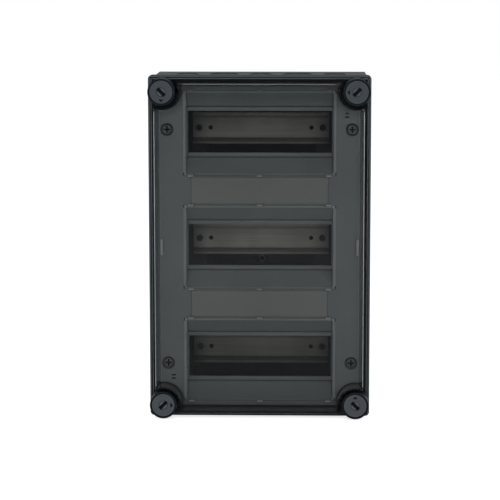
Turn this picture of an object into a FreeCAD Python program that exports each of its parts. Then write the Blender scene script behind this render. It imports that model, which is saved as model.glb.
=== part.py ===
import FreeCAD, Part
import math
import os
import re
import Sketcher

# Wall-mounted insulated circuit breaker enclosure: dark base, smoked lid on four
# quarter-turn fasteners, and an inner cover with three window rows over three rails.
# The wall is the plane y = 0, the front faces -Y, +Z is up and x = z = 0 is the middle.
# A level is a height above the wall, so a point on a level has y = -level.

doc = FreeCAD.newDocument("breaker_enclosure")
sheet = doc.addObject("Spreadsheet::Sheet", "sizes")

# Every size in millimetres, one alias each.
SIZES = {
    # whole box
    "depth": 150, "corner_radius": 4.5, "unit_corner_gap": 0.5, "cover_end_strip": 5.6,
    # base shell and the collar round its mouth
    "wall": 3, "floor": 3, "collar_wall": 2.2, "collar_gap": 1, "collar_height": 13,
    "collar_drop": 0.4, "edge_bevel": 1.2, "back_edge_radius": 1.5,
    # lid and its seal
    "lid_height": 24, "flange_width": 4.4, "flange_thickness": 3, "lid_wall": 2.6,
    "lid_plate": 3, "notch_wall": 1.6, "lid_edge_radius": 1.9, "notch_corner_radius": 1.2,
    "seal_height": 3, "seal_width": 2.2, "seal_margin": 0.4,
    # lid fasteners: sleeve, head, shank and foot
    "fastener_inset_side": 16, "fastener_inset_end": 16.75, "sleeve_radius": 14.7,
    "sleeve_rim": 1.3, "sleeve_web": 3, "sleeve_hub": 8, "sleeve_skin": 2.2, "spigot_gap": 0.2,
    "spigot_depth": 5, "notch_gap": 3.4, "head_clearance": 0.4, "head_thickness": 3.6,
    "head_drop": 0.3, "head_seat_gap": 0.3, "head_chamfer": 0.9, "shank_radius": 5,
    "shank_clearance": 0.06, "slot_length": 10.4, "slot_width": 3, "slot_depth": 2.4,
    "dimple_radius": 4.9, "dimple_depth": 0.9, "mark_size": 2.8, "mark_depth": 0.5,
    "mark_place": 9.3, "foot_length": 19, "foot_width": 6.5, "foot_thickness": 4,
    "foot_gap": 1, "foot_clearance": 0.7,
    # corner columns of the base that hold the fasteners
    "column_skin": 0.3, "catch_plate": 4, "chamber_depth": 12,
    # inner cover
    "cover_drop": 26, "cover_plate": 2.5, "cover_skirt": 12, "skirt_wall": 1.8, "cover_side_gap": 1.2,
    "cover_notch_gap": 0.5, "cover_edge_radius": 0.8, "rib_length": 17.6, "rib_width": 2,
    "rib_height": 1.5, "rib_margin": 1.4, "eyelet_side": 14.8, "eyelet_end": 32,
    "eyelet_length": 4.4, "eyelet_slot": 1.6, "eyelet_bridge": 2.2,
    "ledge_thickness": 1.4, "ledge_gap": 0.4, "ledge_end_gap": 1,
    # window units in the cover
    "row_pitch": 125, "opening_width": 157.5, "opening_height": 46, "frame_width": 5,
    "cheek_margin": 1.75, "slope_rise": 18, "unit_gap": 0.3, "unit_side_gap": 1,
    "unit_wall": 2.2, "cheek_wall": 2, "window_drop": 19, "groove_width": 0.8,
    "groove_depth": 0.8, "tab_width": 6, "tab_pitch": 75.2, "tab_reach": 1.1,
    "tab_height": 1.3, "tab_lift": 0.1,
    # marking strips between the rows
    "strip_end_gap": 4.25, "strip_margin": 1.6, "strip_thickness": 1.6, "strip_recess": 0.8,
    "strip_gap": 0.2,
    # cover screws, their cups and posts
    "screw_inset": 9, "screw_offset": 4, "screw_head_radius": 5.6, "screw_head_height": 3,
    "screw_radius": 2, "screw_length": 20, "screw_gap": 0.3, "cross_length": 7.4,
    "cross_width": 1.5, "cross_depth": 1.9, "cup_gap": 1.6, "cup_depth": 4, "cup_wall": 1.6,
    "cup_floor": 2, "post_radius": 5.2, "pilot_gap": 0.1, "pilot_spare": 3, "post_rib": 2,
    "post_rib_drop": 18,
    # mounting rails, their screws and supports
    "rail_end_gap": 2.25, "rail_width": 35, "rail_depth": 7.5, "rail_thickness": 1,
    "rail_channel": 27, "rail_drop": 48, "rail_hole_radius": 2.5, "rail_hole_end": 7.2,
    "rail_hole_step": 12.7, "rail_bend": 0.7, "rail_screw_head": 3.4,
    "rail_screw_head_height": 2.2, "rail_screw_gap": 0.15, "rail_screw_length": 14,
    "support_width": 16, "support_wall": 2, "support_top": 3, "support_overhang": 4,
    "support_slot_margin": 12, "support_slot_foot": 10,
    # wall fixing and knock-outs
    "fix_inset_side": 36, "fix_inset_end": 23, "fix_hole_radius": 2.7,
    "fix_boss_radius": 6.5, "fix_boss_height": 8, "centre_fix_drop": 29,
    "knock_level": 55, "knock_pitch_end": 41, "knock_pitch_side": 78,
    "knock_large": 16.5, "knock_small": 12.8, "knock_rim": 1.3, "knock_rim_height": 0.9,
    "knock_recess": 0.8,
}

# Places and sizes that follow from the ones above.
DERIVED = {
    "unit_width": "(opening_width + 2 * cheek_margin + 2 * cheek_wall)",
    "unit_height": "(opening_height + 2 * frame_width + 2 * slope_rise)",
    "half_width": "(unit_width / 2 + unit_corner_gap + skirt_wall + cover_notch + fastener_inset_side)",
    "half_height": "(row_pitch + unit_height / 2 + cover_end_strip + cover_inset)",
    "wall_inset": "(collar_wall + collar_gap)",
    "lid_inset": "(wall_inset + flange_width)",
    "flange_level": "(depth - lid_height)",
    "seal_top": "(flange_level - flange_thickness)",
    "wall_top": "(seal_top - seal_height)",
    "fastener_x": "(half_width - fastener_inset_side)",
    "fastener_z": "(half_height - fastener_inset_end)",
    "notch_radius": "(sleeve_radius + notch_gap)",
    "head_radius": "(sleeve_radius - sleeve_rim - head_clearance)",
    "head_top": "(depth - head_drop)",
    "head_seat": "(head_top - head_thickness)",
    "column_radius": "(fastener_inset_side - wall_inset - column_skin)",
    "catch_level": "(wall_top - catch_plate)",
    "foot_top": "(catch_level - foot_gap)",
    "cover_inset": "(lid_inset + lid_wall + cover_side_gap)",
    "cover_notch": "(notch_radius + notch_wall + cover_notch_gap)",
    "cover_level": "(depth - cover_drop)",
    "ledge_level": "(seal_top - ledge_gap - ledge_thickness)",
    "ledge_width": "(cover_inset + skirt_wall / 2 - wall_inset - wall - ledge_gap)",
    "window_level": "(cover_level - window_drop)",
    "band_height": "(row_pitch - unit_height - 2 * unit_gap)",
    "strip_length": "(opening_width - 2 * strip_end_gap)",
    "strip_height": "(band_height - 2 * strip_margin)",
    "screw_x": "(half_width - cover_inset - screw_inset)",
    "screw_height": "(row_pitch + screw_offset)",
    "cup_radius": "(screw_head_radius + cup_gap)",
    "cup_level": "(cover_level - cup_depth)",
    "post_top": "(cup_level - cup_floor)",
    "rail_length": "(opening_width - 2 * rail_end_gap)",
    "rail_hole_outer": "(rail_length / 2 - rail_hole_end)",
    "rail_hole_inner": "(rail_hole_outer - rail_hole_step)",
    "rail_front": "(window_level - rail_drop)",
    "rail_back": "(rail_front - rail_depth)",
    "rail_web": "(rail_back + rail_thickness)",
    "fix_x": "(half_width - fix_inset_side)",
    "fix_z": "(half_height - fix_inset_end)",
    "support_half": "(row_pitch + rail_width / 2 + support_overhang)",
}

for number, (alias, size) in enumerate(SIZES.items(), start=1):
    sheet.set(f"A{number}", alias)
    sheet.set(f"B{number}", str(size))
    sheet.setAlias(f"B{number}", alias)
doc.recompute()

ROWS = {"top": 1, "middle": 0, "bottom": -1}
CORNERS = {"top_left": (-1, 1), "top_right": (1, 1), "bottom_right": (1, -1), "bottom_left": (-1, -1)}


def bound(text):
    """Write out the derived names, then point every size at its cell."""
    text = str(text)
    while any(word in DERIVED for word in re.findall(r"[a-z_]+", text)):
        text = re.sub(r"[a-z_]+", lambda m: DERIVED.get(m.group(), m.group()), text)
    return re.sub(r"[a-z_]+", lambda m: "sizes." + m.group() if m.group() in SIZES else m.group(), text)


def value(text):
    return float(sheet.evalExpression(bound(text)))


def new_body(label, x="0", z="0", turn=0):
    """A body that stands at x, z and is turned clockwise, seen from the front."""
    body = doc.addObject("PartDesign::Body", label)
    body.Label = label
    body.Placement.Rotation = FreeCAD.Rotation(FreeCAD.Vector(0, 1, 0), turn)
    body.setExpression("Placement.Base.x", bound(x))
    body.setExpression("Placement.Base.z", bound(z))
    return body


def new_sketch(body, offset, plane="XZ_Plane"):
    """A sketch at a level above the wall, or at an offset along X or Z."""
    sketch = body.newObject("Sketcher::SketchObject", body.Label + "_sketch")
    origin = [item for item in body.Origin.OriginFeatures if item.Role == plane][0]
    sketch.AttachmentSupport = [(origin, "")]
    sketch.MapMode = "FlatFace"
    sketch.setExpression("AttachmentOffset.Base.z", bound(offset))
    return sketch


def constrain(sketch, kind, text, *where):
    index = sketch.addConstraint(Sketcher.Constraint(kind, *where, value(text)))
    sketch.setExpression(f"Constraints[{index}]", bound(text))


def place(sketch, item, corner, x, y):
    constrain(sketch, "DistanceX", x, -1, 1, item, corner)
    constrain(sketch, "DistanceY", y, -1, 1, item, corner)


def polygon(sketch, points):
    spots = [FreeCAD.Vector(value(x), value(y), 0) for x, y in points]
    lines = [sketch.addGeometry(Part.LineSegment(spot, spots[(i + 1) % len(spots)]))
             for i, spot in enumerate(spots)]
    for i, line in enumerate(lines):
        sketch.addConstraint(Sketcher.Constraint("Coincident", line, 2, lines[(i + 1) % len(lines)], 1))
        place(sketch, line, 1, *points[i])


def rectangle(sketch, half_x, half_y, x="0", y="0"):
    polygon(sketch, [(f"{x} + ({i}) * ({half_x})", f"{y} + ({k}) * ({half_y})")
                     for i, k in ((-1, -1), (1, -1), (1, 1), (-1, 1))])


def circle(sketch, radius, x="0", y="0"):
    item = sketch.addGeometry(Part.Circle(FreeCAD.Vector(value(x), value(y), 0),
                                          FreeCAD.Vector(0, 0, 1), value(radius)))
    constrain(sketch, "Radius", radius, item)
    place(sketch, item, 3, x, y)


def notched_rectangle(sketch, inset, radius):
    """The box outline moved in by an inset, with a hollow arc round each fastener."""
    half_x, half_z = f"(half_width - {inset})", f"(half_height - {inset})"
    ends = {}
    for i, k in CORNERS.values():
        centre = FreeCAD.Vector(i * value("fastener_x"), k * value("fastener_z"), 0)
        over_x, over_z = value(f"{half_x} - fastener_x"), value(f"{half_z} - fastener_z")
        reach = value(radius)
        on_end = math.atan2(k * over_z, -i * math.sqrt(reach**2 - over_z**2))
        on_side = math.atan2(-k * math.sqrt(reach**2 - over_x**2), i * over_x)
        first, last = (on_end, on_side) if i * k > 0 else (on_side, on_end)
        if last < first:
            last += 2 * math.pi
        item = sketch.addGeometry(Part.ArcOfCircle(
            Part.Circle(centre, FreeCAD.Vector(0, 0, 1), reach), first, last))
        constrain(sketch, "Radius", radius, item)
        place(sketch, item, 3, f"{i} * fastener_x", f"{k} * fastener_z")
        ends[i, k] = (item, 1, 2) if i * k > 0 else (item, 2, 1)
    for sign in (-1, 1):
        for along_x in (True, False):
            first, last = ((-1, sign), (1, sign)) if along_x else ((sign, -1), (sign, 1))
            spot = 1 if along_x else 2
            start, stop = ends[first], ends[last]
            line = sketch.addGeometry(Part.LineSegment(
                sketch.getPoint(start[0], start[spot]), sketch.getPoint(stop[0], stop[spot])))
            sketch.addConstraint(Sketcher.Constraint("Coincident", line, 1, start[0], start[spot]))
            sketch.addConstraint(Sketcher.Constraint("Coincident", line, 2, stop[0], stop[spot]))
            sketch.addConstraint(Sketcher.Constraint("Horizontal" if along_x else "Vertical", line))
            text = f"{sign} * {half_z if along_x else half_x}"
            constrain(sketch, "DistanceY" if along_x else "DistanceX", text, -1, 1, line, 1)


def feature(body, kind, sketch, length, reverse=False, middle=False):
    item = body.newObject("PartDesign::" + kind, f"{body.Label}_{kind.lower()}")
    item.Profile = sketch
    item.setExpression("Length", bound(length))
    item.Reversed = reverse
    if middle:
        item.Midplane = True
    before = body.Shape.Volume if kind == "Pocket" else 0
    doc.recompute()
    if kind == "Pocket" and not body.Shape.Volume < before - 1e-3:
        raise RuntimeError(f"a pocket of {body.Label} cuts nothing")
    return item


def pad(body, sketch, length, **options):
    return feature(body, "Pad", sketch, length, **options)


def pocket(body, sketch, length, **options):
    return feature(body, "Pocket", sketch, length, **options)


def dress(body, kind, size, pick):
    """Round or bevel the edges that pick accepts."""
    base = body.Tip
    names = [f"Edge{i}" for i, edge in enumerate(base.Shape.Edges, start=1) if pick(edge)]
    item = body.newObject("PartDesign::" + kind, f"{body.Label}_{kind.lower()}")
    item.Base = (base, names)
    item.setExpression("Radius" if kind == "Fillet" else "Size", bound(size))
    doc.recompute()
    return item


def along(edge, axis):
    """True for a straight edge that runs along an axis."""
    box = edge.BoundBox
    spans = {"x": box.XLength, "y": box.YLength, "z": box.ZLength}
    return spans.pop(axis) > 0.01 and max(spans.values()) < 0.01


def on_level(edge, level):
    box = edge.BoundBox
    return abs(box.YMin + level) < 0.01 and abs(box.YMax + level) < 0.01


def box_prism(body, inset, low, high):
    """A block with the box outline moved in by an inset, between two levels."""
    sketch = new_sketch(body, low)
    rectangle(sketch, f"(half_width - {inset})", f"(half_height - {inset})")
    return pad(body, sketch, f"{high} - ({low})")


def corner_radius(inset):
    return f"max(corner_radius - {inset}; 0.6)"


# Base: shell with a collar, corner columns, posts, bosses and knock-outs
def make_base():
    body = new_body("base")
    box_prism(body, "wall_inset", "0", "wall_top")
    dress(body, "Fillet", corner_radius("wall_inset"), lambda e: along(e, "y"))
    dress(body, "Fillet", "back_edge_radius", lambda e: on_level(e, 0))
    half_x = value("half_width - wall_inset")
    box_prism(body, "0", "flange_level - collar_drop - collar_height", "flange_level - collar_drop")
    dress(body, "Fillet", "corner_radius",
          lambda e: along(e, "y") and abs(e.BoundBox.Center.x) > half_x + 0.1)
    sketch = new_sketch(body, "flange_level - collar_drop")
    rectangle(sketch, "(half_width - collar_wall)", "(half_height - collar_wall)")
    pocket(body, sketch, "flange_level - collar_drop - wall_top")
    mouth, half_x = value("flange_level - collar_drop"), value("half_width - collar_wall / 2")
    dress(body, "Chamfer", "edge_bevel", lambda e: on_level(e, mouth) and (
        abs(e.BoundBox.XMin) > half_x or abs(e.BoundBox.XMax) > half_x))
    sketch = new_sketch(body, "wall_top")
    rectangle(sketch, "(half_width - wall_inset - wall)", "(half_height - wall_inset - wall)")
    pocket(body, sketch, "wall_top - floor")

    sketch = new_sketch(body, "0")
    for i, k in CORNERS.values():
        circle(sketch, "column_radius", f"{i} * fastener_x", f"{k} * fastener_z")
    pad(body, sketch, "wall_top")
    # the foot enters through a slot across the locked position and turns in the chamber
    sketch = new_sketch(body, "wall_top")
    for i, k in CORNERS.values():
        long_half = "(foot_length / 2 + foot_clearance)"
        wide_half = "(foot_width / 2 + foot_clearance)"
        slant = -i * k
        points = [(f"{i} * fastener_x + ({p} * {long_half} - ({q}) * {wide_half}) * {math.sqrt(0.5)}",
                   f"{k} * fastener_z + ({p} * {long_half} + ({q}) * {wide_half}) * {slant * math.sqrt(0.5)}")
                  for p, q in ((-1, -1), (1, -1), (1, 1), (-1, 1))]
        polygon(sketch, points)
    pocket(body, sketch, "catch_plate")
    sketch = new_sketch(body, "wall_top")
    for i, k in CORNERS.values():
        circle(sketch, "shank_radius + foot_clearance", f"{i} * fastener_x", f"{k} * fastener_z")
    pocket(body, sketch, "catch_plate")
    sketch = new_sketch(body, "catch_level")
    for i, k in CORNERS.values():
        circle(sketch, "foot_length / 2 + foot_clearance", f"{i} * fastener_x", f"{k} * fastener_z")
    pocket(body, sketch, "chamber_depth")

    # posts for the cover screws, each with a rib to the side wall
    sketch = new_sketch(body, "floor")
    for i, k in CORNERS.values():
        circle(sketch, "post_radius", f"{i} * screw_x", f"{k} * screw_height")
    pad(body, sketch, "post_top - floor")
    for i in (-1, 1):
        sketch = new_sketch(body, "floor")
        inner, outer = f"{i} * (screw_x + post_radius / 2)", f"{i} * (half_width - wall_inset - wall / 2)"
        for k in (-1, 1):
            low, high = f"{k} * screw_height - post_rib / 2", f"{k} * screw_height + post_rib / 2"
            polygon(sketch, [(inner, low), (outer, low), (outer, high), (inner, high)])
        pad(body, sketch, "post_top - floor - post_rib_drop")
    sketch = new_sketch(body, "post_top")
    for i, k in CORNERS.values():
        circle(sketch, "screw_radius + pilot_gap", f"{i} * screw_x", f"{k} * screw_height")
    pocket(body, sketch, "screw_length - cup_floor + pilot_spare")

    # wall fixing bosses near the corners and one below the middle rail
    spots = [(f"{i} * fix_x", f"{k} * fix_z") for i, k in CORNERS.values()]
    spots.append(("0", "-centre_fix_drop"))
    sketch = new_sketch(body, "floor")
    for x, z in spots:
        circle(sketch, "fix_boss_radius", x, z)
    pad(body, sketch, "fix_boss_height")
    sketch = new_sketch(body, "floor + fix_boss_height")
    for x, z in spots:
        circle(sketch, "fix_hole_radius", x, z)
    pocket(body, sketch, "floor + fix_boss_height")

    # knock-outs: a raised rim and a sunk disc on each outer wall
    ends = [(f"{n} * knock_pitch_end", "-knock_level", "knock_large" if n % 2 else "knock_small")
            for n in range(-2, 3)]
    sides = [("-knock_level", f"{n} * knock_pitch_side / 2", "knock_small") for n in (-3, -1, 1, 3)]
    for plane, spots, face in (("XY_Plane", ends, "half_height"), ("YZ_Plane", sides, "half_width")):
        for sign in (-1, 1):
            face_at = f"{sign} * ({face} - wall_inset)"
            sketch = new_sketch(body, face_at, plane)
            for x, y, radius in spots:
                circle(sketch, radius, x, y)
                circle(sketch, f"{radius} - knock_rim", x, y)
            pad(body, sketch, "knock_rim_height", reverse=sign < 0)
            sketch = new_sketch(body, face_at, plane)
            for x, y, radius in spots:
                circle(sketch, f"{radius} - knock_rim", x, y)
            pocket(body, sketch, "knock_recess", reverse=sign < 0)
    return body


# Lid: smoked plate and walls with a hollow round each fastener, on a flat flange
def make_lid():
    body = new_body("lid")
    sketch = new_sketch(body, "flange_level")
    notched_rectangle(sketch, "lid_inset", "notch_radius")
    pad(body, sketch, "lid_height")
    dress(body, "Fillet", "notch_corner_radius", lambda e: along(e, "y"))
    front = value("depth")
    dress(body, "Fillet", "lid_edge_radius", lambda e: on_level(e, front))
    box_prism(body, "wall_inset", "seal_top", "flange_level")
    half_x = value("half_width - wall_inset")
    dress(body, "Fillet", corner_radius("wall_inset"),
          lambda e: along(e, "y") and abs(abs(e.BoundBox.Center.x) - half_x) < 0.01)
    sketch = new_sketch(body, "seal_top")
    notched_rectangle(sketch, "(lid_inset + lid_wall)", "notch_radius + notch_wall")
    pocket(body, sketch, "lid_height + flange_thickness - lid_plate", reverse=True)
    sketch = new_sketch(body, "flange_level")
    for i, k in CORNERS.values():
        circle(sketch, "sleeve_hub + spigot_gap", f"{i} * fastener_x", f"{k} * fastener_z")
    pocket(body, sketch, "flange_thickness")
    return body


# Lid seal: soft ring between the lid flange and the base wall
def make_seal():
    body = new_body("lid_seal")
    box_prism(body, "(wall_inset + seal_margin)", "wall_top", "seal_top")
    dress(body, "Fillet", corner_radius("wall_inset"), lambda e: along(e, "y"))
    sketch = new_sketch(body, "seal_top")
    inset = "(wall_inset + seal_margin + seal_width)"
    rectangle(sketch, f"(half_width - {inset})", f"(half_height - {inset})")
    pocket(body, sketch, "seal_height")
    return body


# Fastener sleeve: black tube with a counterbored mouth and a spigot through the flange
def make_sleeve(name, i, k):
    body = new_body("sleeve_" + name, f"{i} * fastener_x", f"{k} * fastener_z")
    sketch = new_sketch(body, "flange_level")
    circle(sketch, "sleeve_radius")
    pad(body, sketch, "lid_height")
    sketch = new_sketch(body, "depth")
    circle(sketch, "sleeve_radius - sleeve_rim")
    pocket(body, sketch, "head_drop + head_thickness + head_seat_gap")
    sketch = new_sketch(body, "flange_level")
    circle(sketch, "sleeve_radius - sleeve_skin")
    circle(sketch, "sleeve_hub")
    pocket(body, sketch, "head_seat - head_seat_gap - sleeve_web - flange_level", reverse=True)
    sketch = new_sketch(body, "flange_level - spigot_depth")
    circle(sketch, "sleeve_hub")
    pad(body, sketch, "spigot_depth")
    sketch = new_sketch(body, "depth")
    circle(sketch, "shank_radius + shank_clearance")
    pocket(body, sketch, "lid_height + spigot_depth")
    rim = value("sleeve_radius")
    dress(body, "Fillet", "sleeve_rim / 3",
          lambda e: on_level(e, value("depth")) and abs(e.BoundBox.XMax - rim) < 0.01)
    return body


# Quarter-turn fastener: slotted grey head, shank and a cross foot behind the catch
def make_fastener(name, i, k, turn):
    body = new_body("fastener_" + name, f"{i} * fastener_x", f"{k} * fastener_z", turn)
    sketch = new_sketch(body, "head_seat")
    circle(sketch, "head_radius")
    pad(body, sketch, "head_thickness")
    dress(body, "Chamfer", "head_chamfer", lambda e: on_level(e, value("head_top")))
    sketch = new_sketch(body, "foot_top")
    circle(sketch, "shank_radius")
    pad(body, sketch, "head_seat - foot_top")

    def bar(half_length, half_width):
        return [(f"({p} * {half_length} - ({q}) * {half_width}) * {math.sqrt(0.5)}",
                 f"-({p} * {half_length} + ({q}) * {half_width}) * {math.sqrt(0.5)}")
                for p, q in ((-1, -1), (1, -1), (1, 1), (-1, 1))]

    sketch = new_sketch(body, "foot_top - foot_thickness")
    polygon(sketch, bar("foot_length / 2", "foot_width / 2"))
    pad(body, sketch, "foot_thickness")
    sketch = new_sketch(body, "head_top")
    circle(sketch, "dimple_radius")
    pocket(body, sketch, "dimple_depth")
    sketch = new_sketch(body, "head_top")
    polygon(sketch, bar("slot_length / 2", "slot_width / 2"))
    pocket(body, sketch, "slot_depth")
    # the small arrow points out of the box corner's own side when the lid is locked
    sketch = new_sketch(body, "head_top")
    polygon(sketch, [("-mark_size / 2", "-mark_place + mark_size / 2"), ("0", "-mark_place - mark_size / 2"),
                     ("mark_size / 2", "-mark_place + mark_size / 2")])
    pocket(body, sketch, "mark_depth")
    return body


# Inner cover: light plate with three row openings, screw cups and sealing eyelets
def make_cover():
    body = new_body("inner_cover")
    sketch = new_sketch(body, "cover_level - cover_skirt")
    notched_rectangle(sketch, "cover_inset", "cover_notch")
    pad(body, sketch, "cover_skirt")
    dress(body, "Fillet", "notch_corner_radius", lambda e: along(e, "y"))
    dress(body, "Fillet", "cover_edge_radius", lambda e: on_level(e, value("cover_level")))
    sketch = new_sketch(body, "cover_level - cover_skirt")
    notched_rectangle(sketch, "(cover_inset + skirt_wall)", "cover_notch + skirt_wall")
    pocket(body, sketch, "cover_skirt - cover_plate", reverse=True)
    sketch = new_sketch(body, "post_top")
    for i, k in CORNERS.values():
        circle(sketch, "cup_radius + cup_wall", f"{i} * screw_x", f"{k} * screw_height")
    pad(body, sketch, "cover_level - post_top")

    # a thin ledge along each side closes the gap to the base wall, below the lid flange
    sketch = new_sketch(body, "ledge_level")
    for side in (-1, 1):
        rectangle(sketch, "(ledge_width / 2)", "(fastener_z - cover_notch - ledge_end_gap)",
                  f"{side} * (half_width - wall_inset - wall - ledge_gap - ledge_width / 2)")
    pad(body, sketch, "ledge_thickness")

    sketch = new_sketch(body, "cover_level")
    for step in ROWS.values():
        rectangle(sketch, "(unit_width / 2 + unit_side_gap)", "(unit_height / 2 + unit_gap)",
                  y=f"{step} * row_pitch")
    pocket(body, sketch, "cover_plate")
    sketch = new_sketch(body, "cover_level")
    for i, k in CORNERS.values():
        circle(sketch, "cup_radius", f"{i} * screw_x", f"{k} * screw_height")
    pocket(body, sketch, "cup_depth")
    sketch = new_sketch(body, "cup_level")
    for i, k in CORNERS.values():
        circle(sketch, "screw_radius + screw_gap", f"{i} * screw_x", f"{k} * screw_height")
    pocket(body, sketch, "cup_floor")

    # two slots with a bridge beside two of the screws take a sealing wire
    sketch = new_sketch(body, "cover_level")
    for side in (-1, 1):
        for step in (-1, 1):
            rectangle(sketch, "(eyelet_length / 2)", "(eyelet_slot / 2)",
                      f"{side} * (half_width - cover_inset - eyelet_side)",
                      f"{side} * (half_height - cover_inset - eyelet_end)"
                      f" + {step} * (eyelet_bridge + eyelet_slot) / 2")
    pocket(body, sketch, "cover_plate")
    sketch = new_sketch(body, "cover_level")
    for side in (-1, 1):
        rectangle(sketch, "(strip_length / 2 + strip_gap)", "(strip_height / 2 + strip_gap)",
                  y=f"{side} * row_pitch / 2")
    pocket(body, sketch, "strip_recess")
    sketch = new_sketch(body, "cover_level")
    for side in (-1, 1):
        rectangle(sketch, "(rib_width / 2)", "(rib_length / 2)",
                  f"{side} * (half_width - cover_inset - rib_margin - rib_width / 2)")
    pad(body, sketch, "rib_height")
    return body


# Window unit: sunk tray with sloped top and bottom faces, cheeks and a nine-module opening
def make_unit(name, step):
    body = new_body("window_unit_" + name, z=f"{step} * row_pitch")
    rim, foot = "unit_height / 2", "(opening_height / 2 + frame_width)"
    inner_rim = f"({rim} - unit_wall)"

    def tray(sketch, outer):
        top = "-cover_level"
        back = "-window_level + unit_wall" if outer else "-window_level"
        edge, low = (rim, f"({foot} + unit_wall / 2)") if outer else (inner_rim, foot)
        polygon(sketch, [(top, edge), (back, low), (back, f"-{low}"), (top, f"-({edge})")])

    sketch = new_sketch(body, "0", "YZ_Plane")
    tray(sketch, True)
    pad(body, sketch, "unit_width", middle=True)
    sketch = new_sketch(body, "0", "YZ_Plane")
    tray(sketch, False)
    pocket(body, sketch, "unit_width - 2 * cheek_wall", middle=True)
    sketch = new_sketch(body, "window_level")
    rectangle(sketch, "(opening_width / 2)", "(opening_height / 2)")
    pocket(body, sketch, "unit_wall")
    sketch = new_sketch(body, "window_level")
    for side in (-1, 1):
        rectangle(sketch, "(unit_width / 2 - cheek_wall)", "(groove_width / 2)",
                  y=f"{side} * ({foot} - groove_width / 2)")
    pocket(body, sketch, "groove_depth")
    # small tabs reach over the cover plate on both long edges
    for place_x in (-1, 0, 1):
        sketch = new_sketch(body, f"{place_x} * tab_pitch", "YZ_Plane")
        for side in (-1, 1):
            root, lip = "(-cover_level + unit_wall / 2)", "(-cover_level - tab_lift)"
            top = "(-cover_level - tab_lift - tab_height)"
            inner, edge = f"{side} * {inner_rim}", f"{side} * {rim}"
            reach = f"{side} * ({rim} + unit_gap + tab_reach)"
            polygon(sketch, [(root, inner), (root, edge), (lip, edge),
                             (lip, reach), (top, reach), (top, inner)])
        pad(body, sketch, "tab_width", middle=True)
    return body


# Marking strip: pale plate in a shallow recess between two rows
def make_strip(name, side):
    body = new_body("marking_strip_" + name, z=f"{side} * row_pitch / 2")
    sketch = new_sketch(body, "cover_level - strip_recess")
    rectangle(sketch, "(strip_length / 2)", "(strip_height / 2)")
    pad(body, sketch, "strip_thickness")
    dress(body, "Chamfer", "strip_thickness / 4",
          lambda e: on_level(e, value("cover_level - strip_recess + strip_thickness")))
    return body


# Cover screw: round head with a cross recess, seated in its cup
def make_cover_screw(name, i, k):
    body = new_body("cover_screw_" + name, f"{i} * screw_x", f"{k} * screw_height")
    sketch = new_sketch(body, "cup_level")
    circle(sketch, "screw_head_radius")
    pad(body, sketch, "screw_head_height")
    dress(body, "Fillet", "screw_head_height / 3",
          lambda e: on_level(e, value("cup_level + screw_head_height")))
    sketch = new_sketch(body, "cup_level - screw_length")
    circle(sketch, "screw_radius")
    pad(body, sketch, "screw_length")
    for arm in (("(cross_length / 2)", "(cross_width / 2)"), ("(cross_width / 2)", "(cross_length / 2)")):
        sketch = new_sketch(body, "cup_level + screw_head_height")
        rectangle(sketch, *arm)
        pocket(body, sketch, "cross_depth")
    return body


# Mounting rail: top-hat section with four holes in its web
def make_rail(name, step):
    body = new_body("rail_" + name, z=f"{step} * row_pitch")
    sketch = new_sketch(body, "0", "YZ_Plane")
    front, lip = "-rail_front", "(-rail_front + rail_thickness)"
    back, web = "-rail_back", "-rail_web"
    edge, outer, inner = "rail_width / 2", "rail_channel / 2", "(rail_channel / 2 - rail_thickness)"
    upper = [(front, edge), (lip, edge), (lip, outer), (back, outer)]
    lower = [(y, f"-{z}") for y, z in reversed(upper)]
    hollow = [(front, f"-{inner}"), (web, f"-{inner}"), (web, inner), (front, inner)]
    polygon(sketch, upper + lower + hollow)
    pad(body, sketch, "rail_length", middle=True)
    bend = value("rail_channel / 2 - rail_thickness")
    dress(body, "Fillet", "min(rail_bend; rail_thickness * 0.7)",
          lambda e: along(e, "x") and abs(abs(e.BoundBox.Center.z) - bend) < 0.01)
    sketch = new_sketch(body, "rail_web")
    for side in (-1, 1):
        for spot in ("rail_hole_inner", "rail_hole_outer"):
            circle(sketch, "rail_hole_radius", f"{side} * {spot}")
    pocket(body, sketch, "rail_thickness")
    return body


# Rail screw: dark pan head through the outer rail hole into the support
def make_rail_screw(name, i, step):
    body = new_body("rail_screw_" + name, f"{i} * rail_hole_outer", f"{step} * row_pitch")
    sketch = new_sketch(body, "rail_web")
    circle(sketch, "rail_screw_head")
    pad(body, sketch, "rail_screw_head_height")
    dress(body, "Fillet", "rail_screw_head_height / 3",
          lambda e: on_level(e, value("rail_web + rail_screw_head_height")))
    sketch = new_sketch(body, "rail_web - rail_screw_length")
    circle(sketch, "rail_hole_radius - rail_screw_gap")
    pad(body, sketch, "rail_screw_length")
    sketch = new_sketch(body, "rail_web + rail_screw_head_height")
    rectangle(sketch, "(rail_screw_head * 0.65)", "(rail_screw_head * 0.12)")
    pocket(body, sketch, "rail_screw_head_height / 2")
    return body


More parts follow.
